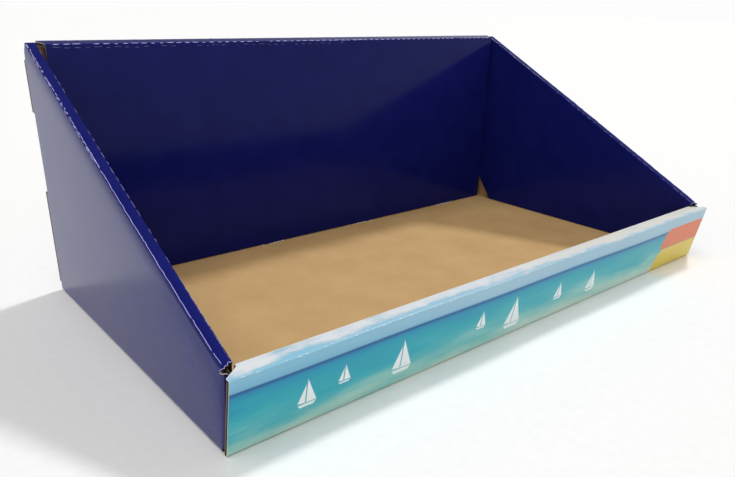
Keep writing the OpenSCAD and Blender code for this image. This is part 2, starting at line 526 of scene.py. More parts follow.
def settled(point):
    """Where a point of the ideal sheet ends up on the tray."""
    moved = point.copy()
    side = -1 if point.x < 0 else 1
    in_side_wall = crease_front_y - layer_gap < point.y < crease_back_y + layer_gap / 2
    if in_side_wall and abs(point.x) > inside_half - INSIDE_ROOM:
        along = share_of(point.y - crease_front_y, crease_back_y - crease_front_y)
        rise = share_of(point.z, ridge_z(point.y))
        outside = share_of(abs(point.x) - inside_half, side_ledge - board_t)
        to_ridge = max(ridge_z(point.y) - point.z, 0) * math.cos(slope)
        to_front = max(point.y - crease_front_y, 0)
        roll = math.exp(-to_ridge / ROLL_REACH) + math.exp(-to_front / ROLL_REACH)
        moved.x += side * rise * (SIDE_BOW * math.sin(math.pi * along) - ROLL_IN * outside * roll)
    if point.y < crease_front_y:
        rise = share_of(point.z, front_h)
        moved.y += FRONT_WAVE * math.sin(2 * math.pi * point.x / FRONT_WAVE_LENGTH) * rise
    return moved


largest = max((settled(point) - point).length for point in sheet.points)
print("Largest shift of the sheet:", round(largest, 2), "mm")

# %% [markdown]
# All strips become one mesh. Every corner of a face also keeps its place on the flat sheet in a UV map,
# in metres, so the print, the fibres and the flutes run over the creases as they do on real board.

# %% Make the mesh
SHARP_FROM = math.radians(40)

mesh = bpy.data.meshes.new("folded_sheet")
mesh.from_pydata([settled(p) * MM for p in sheet.points], [], sheet.faces)
blank_map = mesh.uv_layers.new(name="blank")
for face, places, finish in zip(mesh.polygons, sheet.places, sheet.finishes):
    face.material_index = finish
    for loop, place in zip(face.loop_indices, places):
        blank_map.data[loop].uv = Vector(place) * MM
shell = bmesh.new()
shell.from_mesh(mesh)
bmesh.ops.recalc_face_normals(shell, faces=shell.faces)
shell.to_mesh(mesh)
shell.free()
mesh.shade_smooth()
mesh.set_sharp_from_angle(angle=SHARP_FROM)
tray = bpy.data.objects.new("folded_sheet", mesh)
bpy.context.collection.objects.link(tray)
print("Folded sheet:", len(mesh.polygons), "faces")

# %% [markdown]
# Every finish below starts from what the real one is. Its colours are written as sRGB hex values,
# and one function turns them into the linear light that Blender computes with.
# One more function adds a node, sets its properties and feeds its inputs, so a material reads from top
# to bottom. Where a whole node is fed to an input, its first output is meant.

# %% Helpers for materials


def linear(hex_colour):
    """Linear red, green, blue and alpha of an sRGB hex colour."""
    channels = [int(hex_colour[n:n + 2], 16) / 255 for n in (1, 3, 5)]
    return [c / 12.92 if c <= 0.04045 else ((c + 0.055) / 1.055) ** 2.4 for c in channels] + [1.0]


def add_node(tree, kind, feeds=None, **settings):
    """Adds a node. Settings are its properties, and feeds are values, outputs or nodes for its inputs."""
    made = tree.nodes.new(kind)
    for name, value in settings.items():
        setattr(made, name, value)
    for key, value in (feeds or {}).items():
        if isinstance(value, bpy.types.Node):
            value = value.outputs[0]
        if isinstance(value, bpy.types.NodeSocket):
            tree.links.new(value, made.inputs[key])
        else:
            made.inputs[key].default_value = value
    return made


def new_material(name):
    """An empty node material, and the function that adds nodes to it."""
    material = bpy.data.materials.new(name)
    material.use_nodes = True
    material.node_tree.nodes.clear()
    return material, partial(add_node, material.node_tree)


def set_stops(ramp, stops):
    """Writes the places and colours of a colour ramp."""
    bar = ramp.color_ramp
    while len(bar.elements) > len(stops):
        bar.elements.remove(bar.elements[-1])
    while len(bar.elements) < len(stops):
        bar.elements.new(1.0)
    for element, (place, colour) in zip(bar.elements, stops):
        element.position = place
        element.color = linear(colour)


finishes = {}
print("Mid grey in linear light:", round(linear("#808080")[0], 3))

# %% [markdown]
# Most of the tray is dark blue offset print under varnish, on the white liner of the board.
# The outside has a full gloss varnish: the eye sees a nearly black blue with a pale sheen at flat angles.
# The ledges and the inside stay a deep even blue. Their satin varnish is thin and mirrors less,
# which a lower IOR gives, and their ink is painted a little darker than the outside blue, as painted shade
# for the inside of the tray. The flutes inside the board press faint ribs through the liner,
# which only the gloss shows. Real paper has a finer grain: this one is as coarse as it needs to show.

# %% Litho print, blue
OUTSIDE_BLUE = ("#141a66", "#191f70")
# The inside blue is a little darker than the outside blue: painted shade for the inside of the tray.
SHADED_INSIDE_BLUE = ("#121861", "#171d6a")
FLUTE_PITCH = 6.4 * MM
MOTTLE = 30 * MM
GRAIN = 0.9 * MM
DULL_SPOTS = 1.4
RIB_BUMP = {"Strength": 0.4, "Distance": 0.012 * MM}


def flute_ripple(add, blank):
    """The faint ribs that the flutes press through a liner, as a height from minus one to one."""
    along = add("ShaderNodeSeparateXYZ", {0: blank}).outputs["X"]
    turns = add("ShaderNodeMath", {0: along, 1: 2 * math.pi / FLUTE_PITCH}, operation="MULTIPLY")
    return add("ShaderNodeMath", {0: turns}, operation="SINE")


def litho_blue(name, inks, ior, roughness):
    material, add = new_material(name)
    blank = add("ShaderNodeUVMap", uv_map="blank")
    mottle = add("ShaderNodeTexNoise", {"Vector": blank, "Scale": 1 / MOTTLE, "Detail": 3.0})
    ink = add("ShaderNodeValToRGB", {0: mottle})
    set_stops(ink, [(0.3, inks[0]), (0.7, inks[1])])
    varnish = add("ShaderNodeMapRange", {0: mottle, 3: roughness, 4: DULL_SPOTS * roughness})
    grain = add("ShaderNodeTexNoise", {"Vector": blank, "Scale": 1 / GRAIN, "Detail": 1.0})
    height = add("ShaderNodeMath", {0: flute_ripple(add, blank), 1: grain}, operation="ADD")
    bump = add("ShaderNodeBump", {"Height": height, **RIB_BUMP})
    shader = add("ShaderNodeBsdfPrincipled", {
        "Base Color": ink, "Roughness": varnish, "IOR": ior, "Normal": bump,
    })
    add("ShaderNodeOutputMaterial", {0: shader})
    return material


finishes[BLUE] = litho_blue("gloss_litho_print_blue", OUTSIDE_BLUE, ior=1.5, roughness=0.2)
# The satin print carries the darker blue of painted shade.
finishes[SATIN] = litho_blue("satin_litho_print_blue_shaded", SHADED_INSIDE_BLUE, ior=1.18, roughness=0.11)
print("Blue prints:", finishes[BLUE].name, "and", finishes[SATIN].name)

# %% [markdown]
# The front carries a printed sea under a cloudy sky, with small sails and plain colour fields at its right.
# A shape in the print is an area of the flat sheet, so it is drawn by distances: a point is inside
# a straight-sided shape when it is behind all its sides. A soft edge a third of a millimetre wide
# stands for the spread of the ink.

# %% Shapes in the print
INK_SPREAD = 0.35
FIELD_ROUND = 7.0
FAR_INSIDE = -1000.0
MAST_GAP = 0.5
HULL_GAP = 0.8


def print_over(add, picture, distance, colour):
    """Prints a colour over the picture wherever a distance is below zero."""
    inked = add("ShaderNodeMapRange", {0: distance, 1: INK_SPREAD, 2: -INK_SPREAD})
    return add("ShaderNodeMix", {0: inked, 6: picture, 7: linear(colour)}, data_type="RGBA").outputs[2]


def straight_shape(add, picture, place, corners, colour):
    """Prints a shape with straight sides. Its corners run counter-clockwise, in millimetres on the sheet."""
    distance = FAR_INSIDE
    for (x, up), (next_x, next_up) in zip(corners, corners[1:] + corners[:1]):
        side = Vector((next_up - up, x - next_x, 0)).normalized()
        side.z = -side.x * x - side.y * up
        past = add("ShaderNodeVectorMath", {0: place, 1: side}, operation="DOT_PRODUCT").outputs["Value"]
        distance = add("ShaderNodeMath", {0: past, 1: distance}, operation="MAXIMUM")
    return print_over(add, picture, distance, colour)


def colour_field(add, picture, x, up, colour, bottom, top, left, lean):
    """A field that runs off the right end of the front, with a leaning left side and round corners."""
    middle, half = (bottom + top) / 2, (top - bottom) / 2
    rise = add("ShaderNodeMath", {0: up, 1: middle}, operation="SUBTRACT")
    shift = add("ShaderNodeMath", {0: rise, 1: lean, 2: left + FIELD_ROUND}, operation="MULTIPLY_ADD")
    over = add("ShaderNodeMath", {0: shift, 1: x}, operation="SUBTRACT")
    side = add("ShaderNodeMath", {0: over, 1: 0.0}, operation="MAXIMUM")
    away = add("ShaderNodeMath", {0: rise}, operation="ABSOLUTE")
    past = add("ShaderNodeMath", {0: away, 1: half - FIELD_ROUND}, operation="SUBTRACT")
    end = add("ShaderNodeMath", {0: past, 1: 0.0}, operation="MAXIMUM")
    corner = add("ShaderNodeCombineXYZ", {0: side, 1: end})
    reach = add("ShaderNodeVectorMath", {0: corner}, operation="LENGTH").outputs["Value"]
    distance = add("ShaderNodeMath", {0: reach, 1: FIELD_ROUND}, operation="SUBTRACT")
    return print_over(add, picture, distance, colour)


def boat_shapes(mast, foot, tall):
    """Corners of a small sailing boat: the sail behind its mast, the one before it, and the hull.
    Its lengths are shares of its height, apart from the gaps at the mast and above the hull."""
    behind, before, deck = mast + MAST_GAP, mast - MAST_GAP, foot - HULL_GAP
    return [
        [(behind, foot), (mast + 0.46 * tall, foot), (behind, foot + tall)],
        [(mast - 0.34 * tall, foot + 0.05 * tall), (before, foot), (before, foot + 0.8 * tall)],
        [(mast - 0.24 * tall, foot - 0.16 * tall), (mast + 0.34 * tall, foot - 0.16 * tall),
         (mast + 0.46 * tall, deck), (mast - 0.32 * tall, deck)],
    ]


print("A boat 20 mm tall has corners", boat_shapes(0, 0, 20)[0])

# %% [markdown]
# The picture itself is made of bands: pale shallow water, turquoise, a dark line at the horizon, then sky.
# A colour ramp gives the bands by the distance up the sheet, and noise that is stretched sideways bends them
# into ripples, which grow calm at the horizon. Each set of four numbers below is for one range node:
# what comes in between 1 and 2 goes out between 3 and 4. Lengths are millimetres on the sheet.

# %% Bands of sea and sky
PANEL_START = board_t * (math.pi / 2 - front_lean)
HORIZON = PANEL_START + 43.4
PRINT_TOP = PANEL_START + 76.0
SEA_BANDS = [
    (0.0, "#c3ddd0"), (0.12, "#98d0c8"), (0.24, "#52b6be"),
    (0.38, "#2caab9"), (0.5, "#1d9fb6"), (0.56, "#1c8fb6"),
]
SKY_BANDS = [(-0.8, "#1c5e98"), (0.3, "#205f98"), (1.5, "#78b6d3"), (6.0, "#83bed9"), (14.0, "#8fc5dc")]
SWELL = 22
SWELL_PULL = (0.3, 1.4, 1.0)
DRIFT = {1: 0.3, 2: 0.7, 3: -8.0, 4: 8.0}
SHALLOWS = {1: -280.0, 2: 60.0, 3: 4.0, 4: -5.0}
CALM = {1: HORIZON - 12, 2: HORIZON - 2, 3: 1.0, 4: 0.0}


def sea_and_sky(add, flat, x, up):
    """Bands of colour up the sheet, with ripples on the water."""
    stretched = add("ShaderNodeMapping", {"Vector": flat, "Scale": SWELL_PULL})
    swell = add("ShaderNodeTexNoise", {"Vector": stretched, "Scale": 1 / SWELL, "Detail": 5.0})
    drift = add("ShaderNodeMapRange", {0: swell, **DRIFT})
    shallow = add("ShaderNodeMapRange", {0: x, **SHALLOWS})
    bent = add("ShaderNodeMath", {0: drift, 1: shallow}, operation="ADD")
    near_sky = add("ShaderNodeMapRange", {0: up, **CALM})
    depth = add("ShaderNodeMath", {0: bent, 1: near_sky, 2: up}, operation="MULTIPLY_ADD")
    share = add("ShaderNodeMath", {0: depth, 1: PRINT_TOP}, operation="DIVIDE")
    bands = add("ShaderNodeValToRGB", {0: share})
    set_stops(bands, SEA_BANDS + [((HORIZON + rise) / PRINT_TOP, colour) for rise, colour in SKY_BANDS])
    return bands


print("Horizon", round(HORIZON, 1), "mm up the sheet, print ends at", round(PRINT_TOP, 1), "mm")

# %% [markdown]
# The clouds are another noise. They thicken towards the ledge, and to the right they lie in a haze
# and turn a little warmer, as towards the sun.

# %% Clouds
CLOUD_SHADE = "#b8cddb"
CLOUD_LIGHT = "#e0e5e9"
CLOUD_WARM = "#dcd5c6"
PUFF = 15
PUFF_PULL = (0.45, 1.0, 1.0)
THICKENING = {1: HORIZON + 8, 2: HORIZON + 20, 3: -0.3, 4: 0.16}
HAZE = {1: -200.0, 2: 0.0, 3: 0.0, 4: 0.08}
COVER = {1: 0.44, 2: 0.6}
ABOVE_SEA = {1: HORIZON + 1, 2: HORIZON + 3}
MIST = {1: -240.0, 2: -60.0, 3: 0.0, 4: 0.5}
TO_SUN = {1: -60.0, 2: 90.0, 3: 0.0, 4: 0.6}
BRIGHT = {1: 0.5, 2: 0.72}


def clouded(add, bands, flat, x, up):
    """The bands of the print with clouds over the sky."""
    puffs = add("ShaderNodeMapping", {"Vector": flat, "Scale": PUFF_PULL})
    cloud = add("ShaderNodeTexNoise", {
        "Vector": puffs, "Scale": 1 / PUFF, "Detail": 6.0, "Roughness": 0.6,
    })
    height = add("ShaderNodeMapRange", {0: up, **THICKENING})
    haze = add("ShaderNodeMapRange", {0: x, **HAZE})
    veil = add("ShaderNodeMath", {0: height, 1: haze}, operation="ADD")
    thick = add("ShaderNodeMath", {0: cloud, 1: veil}, operation="ADD")
    cover = add("ShaderNodeMapRange", {0: thick, **COVER})
    above = add("ShaderNodeMapRange", {0: up, **ABOVE_SEA})
    mist = add("ShaderNodeMapRange", {0: x, **MIST})
    misty = add("ShaderNodeMath", {0: above, 1: mist}, operation="MULTIPLY")
    pale = add("ShaderNodeMath", {0: cover, 1: misty}, operation="MAXIMUM")
    sun = add("ShaderNodeMapRange", {0: x, **TO_SUN})
    lit = add("ShaderNodeMix", {
        0: sun, 6: linear(CLOUD_LIGHT), 7: linear(CLOUD_WARM),
    }, data_type="RGBA")
    bright = add("ShaderNodeMapRange", {0: thick, **BRIGHT})
    puff = add("ShaderNodeMix", {
        0: bright, 6: linear(CLOUD_SHADE), 7: lit.outputs[2],
    }, data_type="RGBA")
    return add("ShaderNodeMix", {0: pale, 6: bands, 7: puff.outputs[2]}, data_type="RGBA").outputs[2]


print("Clouds are", PUFF, "mm across and thicken from", round(THICKENING[1], 1), "mm up the sheet")

# %% [markdown]
# The boats and the colour fields are printed over the picture, one after the other, as on a press.
# A field has a colour, a bottom, a top, a left end and a lean, and a boat has a mast, a foot and a height.
# The photograph's print leans by a fraction of a degree on its panel, so the picture does too.
# The eye sees clear colours under a light varnish, with a softer shine than on the blue.

# %% Gloss litho print, sea and sky
PRINT_SLANT = 0.0065
FIELDS = [
    ("#df784c", PANEL_START + 23.7, PANEL_START + 46.7, 219.0, 0.3),
    ("#dec750", -9.0, PANEL_START + 23.3, 211.0, 0.42),
]
BOATS = [
    (-243, 19, 19), (-212, 25, 13), (-158, 15, 24), (-72, 24, 14),
    (-30, 14, 26), (34, 22, 15), (88, 17, 19),
]
SAIL_WHITE = "#f2f6f6"
SEA_VARNISH = {"Roughness": 0.32, "IOR": 1.36}


def litho_sea():
    material, add = new_material("gloss_litho_print_sea")
    blank = add("ShaderNodeUVMap", uv_map="blank")
    flat = add("ShaderNodeVectorMath", {0: blank, "Scale": 1 / MM}, operation="SCALE")
    parts = add("ShaderNodeSeparateXYZ", {0: flat})
    x = parts.outputs["X"]
    up = add("ShaderNodeMath", {0: x, 1: PRINT_SLANT, 2: parts.outputs["Y"]}, operation="MULTIPLY_ADD")
    place = add("ShaderNodeCombineXYZ", {0: x, 1: up, 2: 1.0})
    picture = clouded(add, sea_and_sky(add, flat, x, up), flat, x, up)
    for boat in BOATS:
        for corners in boat_shapes(*boat):
            picture = straight_shape(add, picture, place, corners, SAIL_WHITE)
    for field in FIELDS:
        picture = colour_field(add, picture, x, up, *field)
    bump = add("ShaderNodeBump", {"Height": flute_ripple(add, blank), **RIB_BUMP})
    shader = add("ShaderNodeBsdfPrincipled", {"Base Color": picture, "Normal": bump, **SEA_VARNISH})
    add("ShaderNodeOutputMaterial", {0: shader})
    return material


finishes[SEA] = litho_sea()
print("Sea print:", len(finishes[SEA].node_tree.nodes), "nodes")

# %% [markdown]
# The unprinted side is kraft liner: strong brown paper from long fibres, matt and cloudy, with dark flecks.
# Two noises give it: a broad one for the cloudy tone and a fine one, pulled along the sheet, for the fibres.
# Real fibres are finer, and these are as coarse as they need to show.

# %% Kraft liner
KRAFT_TONES = ("#c19c68", "#cba773")
FLECK_BROWN = "#86633a"
FIBRE = 1.6 * MM
FIBRE_PULL = (1.0, 0.35, 1.0)
CLOUDING = 45 * MM
FLECKS = {1: 0.6, 2: 0.8, 3: 0.0, 4: 0.4}
FIBRE_BUMP = {"Strength": 0.3, "Distance": 0.05 * MM}
MATT_KRAFT = {"Roughness": 0.85, "IOR": 1.4}


def kraft_liner():
    material, add = new_material("kraft_liner")
    blank = add("ShaderNodeUVMap", uv_map="blank")
    cloudy = add("ShaderNodeTexNoise", {"Vector": blank, "Scale": 1 / CLOUDING, "Detail": 4.0})
    tone = add("ShaderNodeValToRGB", {0: cloudy})
    set_stops(tone, [(0.3, KRAFT_TONES[0]), (0.7, KRAFT_TONES[1])])
    pulled = add("ShaderNodeMapping", {"Vector": blank, "Scale": FIBRE_PULL})
    fibres = add("ShaderNodeTexNoise", {"Vector": pulled, "Scale": 1 / FIBRE, "Detail": 5.0})
    flecks = add("ShaderNodeMapRange", {0: fibres, **FLECKS})
    paper = add("ShaderNodeMix", {0: flecks, 6: tone, 7: linear(FLECK_BROWN)}, data_type="RGBA")
    bump = add("ShaderNodeBump", {"Height": fibres, **FIBRE_BUMP})
    shader = add("ShaderNodeBsdfPrincipled", {
        "Base Color": paper.outputs[2], "Normal": bump, **MATT_KRAFT,
    })
    add("ShaderNodeOutputMaterial", {0: shader})
    return material


finishes[KRAFT] = kraft_liner()
print("Kraft:", finishes[KRAFT].name)

# %% [markdown]
# A cut edge shows how the board is made: a white liner, a brown one, and between them the wavy flute paper.
# The flute paper is painted darker than bare kraft and its hollows nearly black, as painted shade in the
# board.
# The UV map gives the place along the cut and the depth into the board,
# so the wave comes from a sine, and the liners from two steps of a ramp.

# %% Cut corrugated edge
FLUTE_SWING = 0.3
# The flute paper is darker than bare kraft and the hollows nearly black: painted shade inside the board.
SHADED_FLUTE_TONES = [(0.08, "#66553f"), (0.16, "#15110c")]
LINER_STEPS = [(0.0, "#ffffff"), (0.16, "#000000"), (0.86, "#ffffff")]
PRINTED_LINER = "#e2dcd0"
BROWN_LINER = "#84735c"
MATT_EDGE = {"Roughness": 0.9, "IOR": 1.4}


def cut_board_edge():
    material, add = new_material("cut_corrugated_edge")
    blank = add("ShaderNodeUVMap", uv_map="blank")
    depth = add("ShaderNodeSeparateXYZ", {0: blank}).outputs["Y"]
    layer = add("ShaderNodeMath", {0: depth, 1: board_t * MM}, operation="DIVIDE")
    wave = add("ShaderNodeMath", {
        0: flute_ripple(add, blank), 1: FLUTE_SWING, 2: 0.5,
    }, operation="MULTIPLY_ADD")
    off = add("ShaderNodeMath", {0: layer, 1: wave}, operation="SUBTRACT")
    gap = add("ShaderNodeMath", {0: off}, operation="ABSOLUTE")
    core = add("ShaderNodeValToRGB", {0: gap})
    set_stops(core, SHADED_FLUTE_TONES)
    liners = add("ShaderNodeValToRGB", {0: layer})
    liners.color_ramp.interpolation = "CONSTANT"
    set_stops(liners, LINER_STEPS)
    paper = add("ShaderNodeMix", {
        0: layer, 6: linear(PRINTED_LINER), 7: linear(BROWN_LINER),
    }, data_type="RGBA")
    cut = add("ShaderNodeMix", {0: liners, 6: core, 7: paper.outputs[2]}, data_type="RGBA")
    shader = add("ShaderNodeBsdfPrincipled", {"Base Color": cut.outputs[2], **MATT_EDGE})
    add("ShaderNodeOutputMaterial", {0: shader})
    return material


finishes[RAW] = cut_board_edge()
print("Cut edge:", finishes[RAW].name, "with liners at", [step for step, _ in LINER_STEPS])

# %% [markdown]
# The cut edges of the side walls and flaps are painted nearly black, as painted shade for the deep gaps
# at the corners, where they show most. A fine noise in its tone gives them a rough look, coarser than real
# fibres so that it shows, with almost no shine. The same function makes the torn papers and the floor
# further down.

# %% Cut edge with painted shade
# Nearly black tones: painted shade on the cut edges of the side walls and flaps.
SHADED_EDGE_GRAIN = 1.2 * MM
EDGE_SHADE_TONES = [(0.35, "#0e0b08"), (0.7, "#332a20")]


def speckled(name, grain, detail, stops, **surface):
    """A plain material whose tone changes with a fine noise. Surface names more inputs of its shader."""
    material, add = new_material(name)
    where = add("ShaderNodeTexCoord").outputs["Object"]
    noise = add("ShaderNodeTexNoise", {"Vector": where, "Scale": 1 / grain, "Detail": detail})
    tone = add("ShaderNodeValToRGB", {0: noise})
    set_stops(tone, stops)
    shader = add("ShaderNodeBsdfPrincipled", {"Base Color": tone, **surface})
    add("ShaderNodeOutputMaterial", {0: shader})
    return material


# Painted shade: the cut edges of the side walls and flaps are nearly black.
finishes[SHADED_EDGE] = speckled("cut_edge_painted_shade", SHADED_EDGE_GRAIN, 3.0, EDGE_SHADE_TONES, Roughness=0.95, IOR=1.3)
for place_in_mesh in sorted(finishes):
    mesh.materials.append(finishes[place_in_mesh])
print("Finishes:", [material.name for material in mesh.materials])

# %% [markdown]
# The ledges fold along cut creases: a steel rule cuts short slits through the printed liner, so the board
# turns sharply. The slits open at the fold and show torn paper fibres, white where the print is pale and
# tinted where it is blue. On the side ridges the same pale paper is also a painted highlight of the bend,
# and the white line along the front inner crease is only a painted highlight. The fibres are matt and fuzzy,
# so the material is rough, with a fine noise in its tone. The fuzz is coarser than real fibres, so that it
# shows.

# %% Torn liner
FUZZ = 0.8 * MM


def torn_liner(name, dark, light):
    """Torn paper whose fibres lie between two tones."""
    return speckled(name, FUZZ, 2.0, [(0.3, dark), (0.7, light)], Roughness=0.6, IOR=1.45)


# Tinted paper: torn fibres, and on the side ridges also a painted highlight.
tinted_paper_and_highlight = torn_liner("torn_liner_tinted_and_highlight", "#8682c8", "#c4c0f0")
# White paper, also used for the painted highlight along the front inner crease.
white_paper_and_highlight = torn_liner("torn_liner_white_and_highlight", "#cfcfca", "#f4f2ec")
cream_paper = torn_liner("torn_liner_cream", "#b9ab98", "#ddd2c2")
rubbed_ink = torn_liner("rubbed_ink", "#30356e", "#6a70a4")
print("Torn papers:", tinted_paper_and_highlight.name, white_paper_and_highlight.name, cream_paper.name, rubbed_ink.name)

# %% [markdown]
# Two Geometry Nodes trees lay the torn paper. Each takes lines and gives back paper, and its sizes are
# inputs, so one tree serves every crease. Torn fibres stray, so both trees move their points with a noise.

# %% Helpers for the trees
NOISE_MIDDLE = (0.5, 0.5, 0.5)


def new_tree(name, inputs):
    """An empty tree, the function that adds nodes to it, and the outputs of its inputs node."""
    tree = bpy.data.node_groups.new(name, "GeometryNodeTree")
    tree.interface.new_socket("Lines", in_out="INPUT", socket_type="NodeSocketGeometry")
    for key, (kind, _) in inputs.items():
        tree.interface.new_socket(key, in_out="INPUT", socket_type=kind)
    tree.interface.new_socket("Made", in_out="OUTPUT", socket_type="NodeSocketGeometry")
    add = partial(add_node, tree)
    return tree, add, add("NodeGroupInput").outputs


def strayed(add, geometry, grain, amount):
    """Moves every point by a noise of the given grain, by up to half the amount each way."""
    here = add("GeometryNodeInputPosition")
    noise = add("ShaderNodeTexNoise", {"Vector": here, "Scale": 1 / grain, "Detail": 1.0})
    middle = add("ShaderNodeVectorMath", {
        0: noise.outputs["Color"], 1: NOISE_MIDDLE,
    }, operation="SUBTRACT")
    shift = add("ShaderNodeVectorMath", {0: middle, "Scale": amount}, operation="SCALE")
    return add("GeometryNodeSetPosition", {"Geometry": geometry, "Offset": shift})


print("Helpers made:", new_tree.__name__, "and", strayed.__name__)

# %% [markdown]
# Slits lie along each crease at an even pitch, some left out, each moved a little sideways.
# Each is a flat lens of paper with a torn outline, and its length is drawn at random with a fixed seed.

# %% Node tree for slits
TEAR = 1.5 * MM
SHORTEST, LONGEST = 0.45, 1.15
LENS = {"Segments": 12, "Rings": 4, "Radius": 0.5}
SLIT_INPUTS = {
    "Pitch": ("NodeSocketFloat", 8.5 * MM),
    "Length": ("NodeSocketFloat", 7 * MM),
    "Width": ("NodeSocketFloat", 0.8 * MM),
    "Height": ("NodeSocketFloat", 0.2 * MM),
    "Sway": ("NodeSocketFloat", 0.25 * MM),
    "Ragged": ("NodeSocketFloat", 0.5 * MM),
    "Share": ("NodeSocketFloat", 0.85),
    "Seed": ("NodeSocketInt", 4),
    "Paper": ("NodeSocketMaterial", None),
}


def slit_tree():
    tree, add, given = new_tree("slits_along_lines", SLIT_INPUTS)
    seed = given["Seed"]
    curve = add("GeometryNodeMeshToCurve", {"Mesh": given["Lines"]})
    points = add("GeometryNodeCurveToPoints", {"Curve": curve, "Length": given["Pitch"]}, mode="LENGTH")
    tangent = points.outputs["Tangent"]
    facing = add("GeometryNodeInputNamedAttribute", {"Name": "facing"}, data_type="FLOAT_VECTOR")
    side = add("ShaderNodeVectorMath", {0: tangent, 1: facing}, operation="CROSS_PRODUCT")
    sway = add("FunctionNodeRandomValue", {2: -1.0, 3: 1.0, "Seed": seed}, data_type="FLOAT")
    far = add("ShaderNodeMath", {0: sway.outputs[1], 1: given["Sway"]}, operation="MULTIPLY")
    moved = add("ShaderNodeVectorMath", {0: side, "Scale": far}, operation="SCALE")
    placed = add("GeometryNodeSetPosition", {"Geometry": points.outputs["Points"], "Offset": moved})
    along = add("FunctionNodeAlignRotationToVector", {"Vector": tangent}, axis="X")
    turned = add("FunctionNodeAlignRotationToVector", {
        "Rotation": along, "Vector": facing,
    }, axis="Z", pivot_axis="X")
    shown = add("FunctionNodeRandomValue", {
        "Probability": given["Share"], "Seed": seed,
    }, data_type="BOOLEAN")
    vary = add("FunctionNodeRandomValue", {2: SHORTEST, 3: LONGEST, "Seed": seed}, data_type="FLOAT")
    long = add("ShaderNodeMath", {0: given["Length"], 1: vary.outputs[1]}, operation="MULTIPLY")
    size = add("ShaderNodeCombineXYZ", {0: long, 1: given["Width"], 2: given["Height"]})
    lens = add("GeometryNodeMeshUVSphere", LENS)
    lenses = add("GeometryNodeInstanceOnPoints", {
        "Points": placed, "Selection": shown.outputs[3], "Instance": lens,
        "Rotation": turned, "Scale": size,
    })
    whole = add("GeometryNodeRealizeInstances", {"Geometry": lenses})
    torn = strayed(add, whole, TEAR, given["Ragged"])
    real = add("GeometryNodeRealizeInstances", {"Geometry": torn})
    done = add("GeometryNodeSetMaterial", {"Geometry": real, "Material": given["Paper"]})
    add("NodeGroupOutput", {"Made": done})
    return tree


slits = (slit_tree(), SLIT_INPUTS)
print("Slit tree:", len(slits[0].nodes), "nodes")

# %% [markdown]
# A cut edge of the printed liner also leaves a thin pale lip: the die lifts the paper as it leaves the cut.
# A lip is a fine thread that follows the edge, so a second tree sweeps a small round profile along a line
# and lets a noise move it by a fraction of its width.
# The same tree also lays thin lines of painted highlight, along the front inner crease and the front of the
# side ridges.

# %% Node tree for lips
LIP_WAVE = 6 * MM
LIP_SIDES = 6
LIP_INPUTS = {
    "Radius": ("NodeSocketFloat", 0.3 * MM),
    "Step": ("NodeSocketFloat", 0.7 * MM),
    "Wobble": ("NodeSocketFloat", 0.2 * MM),
    "Paper": ("NodeSocketMaterial", None),
}


def lip_tree():
    tree, add, given = new_tree("lips_and_highlight_lines", LIP_INPUTS)
    curve = add("GeometryNodeMeshToCurve", {"Mesh": given["Lines"]})
    even = add("GeometryNodeResampleCurve", {"Curve": curve, "Length": given["Step"]}, mode="LENGTH")
    frayed = strayed(add, even, LIP_WAVE, given["Wobble"])
    profile = add("GeometryNodeCurvePrimitiveCircle", {
        "Resolution": LIP_SIDES, "Radius": given["Radius"],
    })
    thread = add("GeometryNodeCurveToMesh", {
        "Curve": frayed, "Profile Curve": profile, "Fill Caps": True,
    })
    real = add("GeometryNodeRealizeInstances", {"Geometry": thread})
    done = add("GeometryNodeSetMaterial", {"Geometry": real, "Material": given["Paper"]})
    add("NodeGroupOutput", {"Made": done})
    return tree


lips = (lip_tree(), LIP_INPUTS)
print("Lip tree:", len(lips[0].nodes), "nodes")

# %% [markdown]
# A tree needs lines to work on. A guide mesh holds them, with the way that each point faces,
# and the modifier's result is copied into a plain mesh, because the export drops instances.
# The modifier goes with the guide, so the finished piece has none.

# %% From lines to a plain mesh


def laid(name, maker, lines, **sizes):
    """A plain mesh that a tree makes along lines of points, each with the way that it faces."""
    tree, inputs = maker
    points, edges, facings = [], [], []
    for line in lines:
        start = len(points)
        points += [settled(place) * MM for place, facing in line]
        facings += [facing for place, facing in line]
        edges += [(start + n, start + n + 1) for n in range(len(line) - 1)]
    guide_mesh = bpy.data.meshes.new(name + "_guide")
    guide_mesh.from_pydata(points, edges, [])
    stored = guide_mesh.attributes.new("facing", "FLOAT_VECTOR", "POINT")
    for item, facing in zip(stored.data, facings):
        item.vector = facing
    guide = bpy.data.objects.new(name + "_guide", guide_mesh)
    bpy.context.collection.objects.link(guide)
    modifier = guide.modifiers.new("paper", "NODES")
    modifier.node_group = tree
    values = {key: value for key, (_, value) in inputs.items()} | sizes
    for item in tree.interface.items_tree:
        if item.in_out == "INPUT" and item.name in values:
            modifier[item.identifier] = values[item.name]
    depsgraph = bpy.context.evaluated_depsgraph_get()
    made = bpy.data.meshes.new_from_object(guide.evaluated_get(depsgraph))
    made.name = name
    bpy.data.objects.remove(guide)
    piece = bpy.data.objects.new(name, made)
    bpy.context.collection.objects.link(piece)
    print(name, "has", len(made.polygons), "faces")
    return piece


pieces = [tray]
print("Pieces so far:", [piece.name for piece in pieces])

# %% [markdown]
# The lines come from the strips themselves, so the torn paper always lies on the fold that it belongs to.
# One function takes a line along a crease, and the other one along a cut end.

# %% Lines for the torn paper
MOST_OF_IT = (0.015, 0.985)


def crease_line(lines, part, turn=0.5, reach=MOST_OF_IT, stations=40):
    """Points along the outside of a crease, at a share of its turn, with the way that they face."""
    at = [line for line in lines if line.part == part]
    line = at[round(turn * (len(at) - 1))]
    shares = [reach[0] + (reach[1] - reach[0]) * n / stations for n in range(stations + 1)]
    return [(line.first.lerp(line.last, share) + line.lift, line.facing) for share in shares]


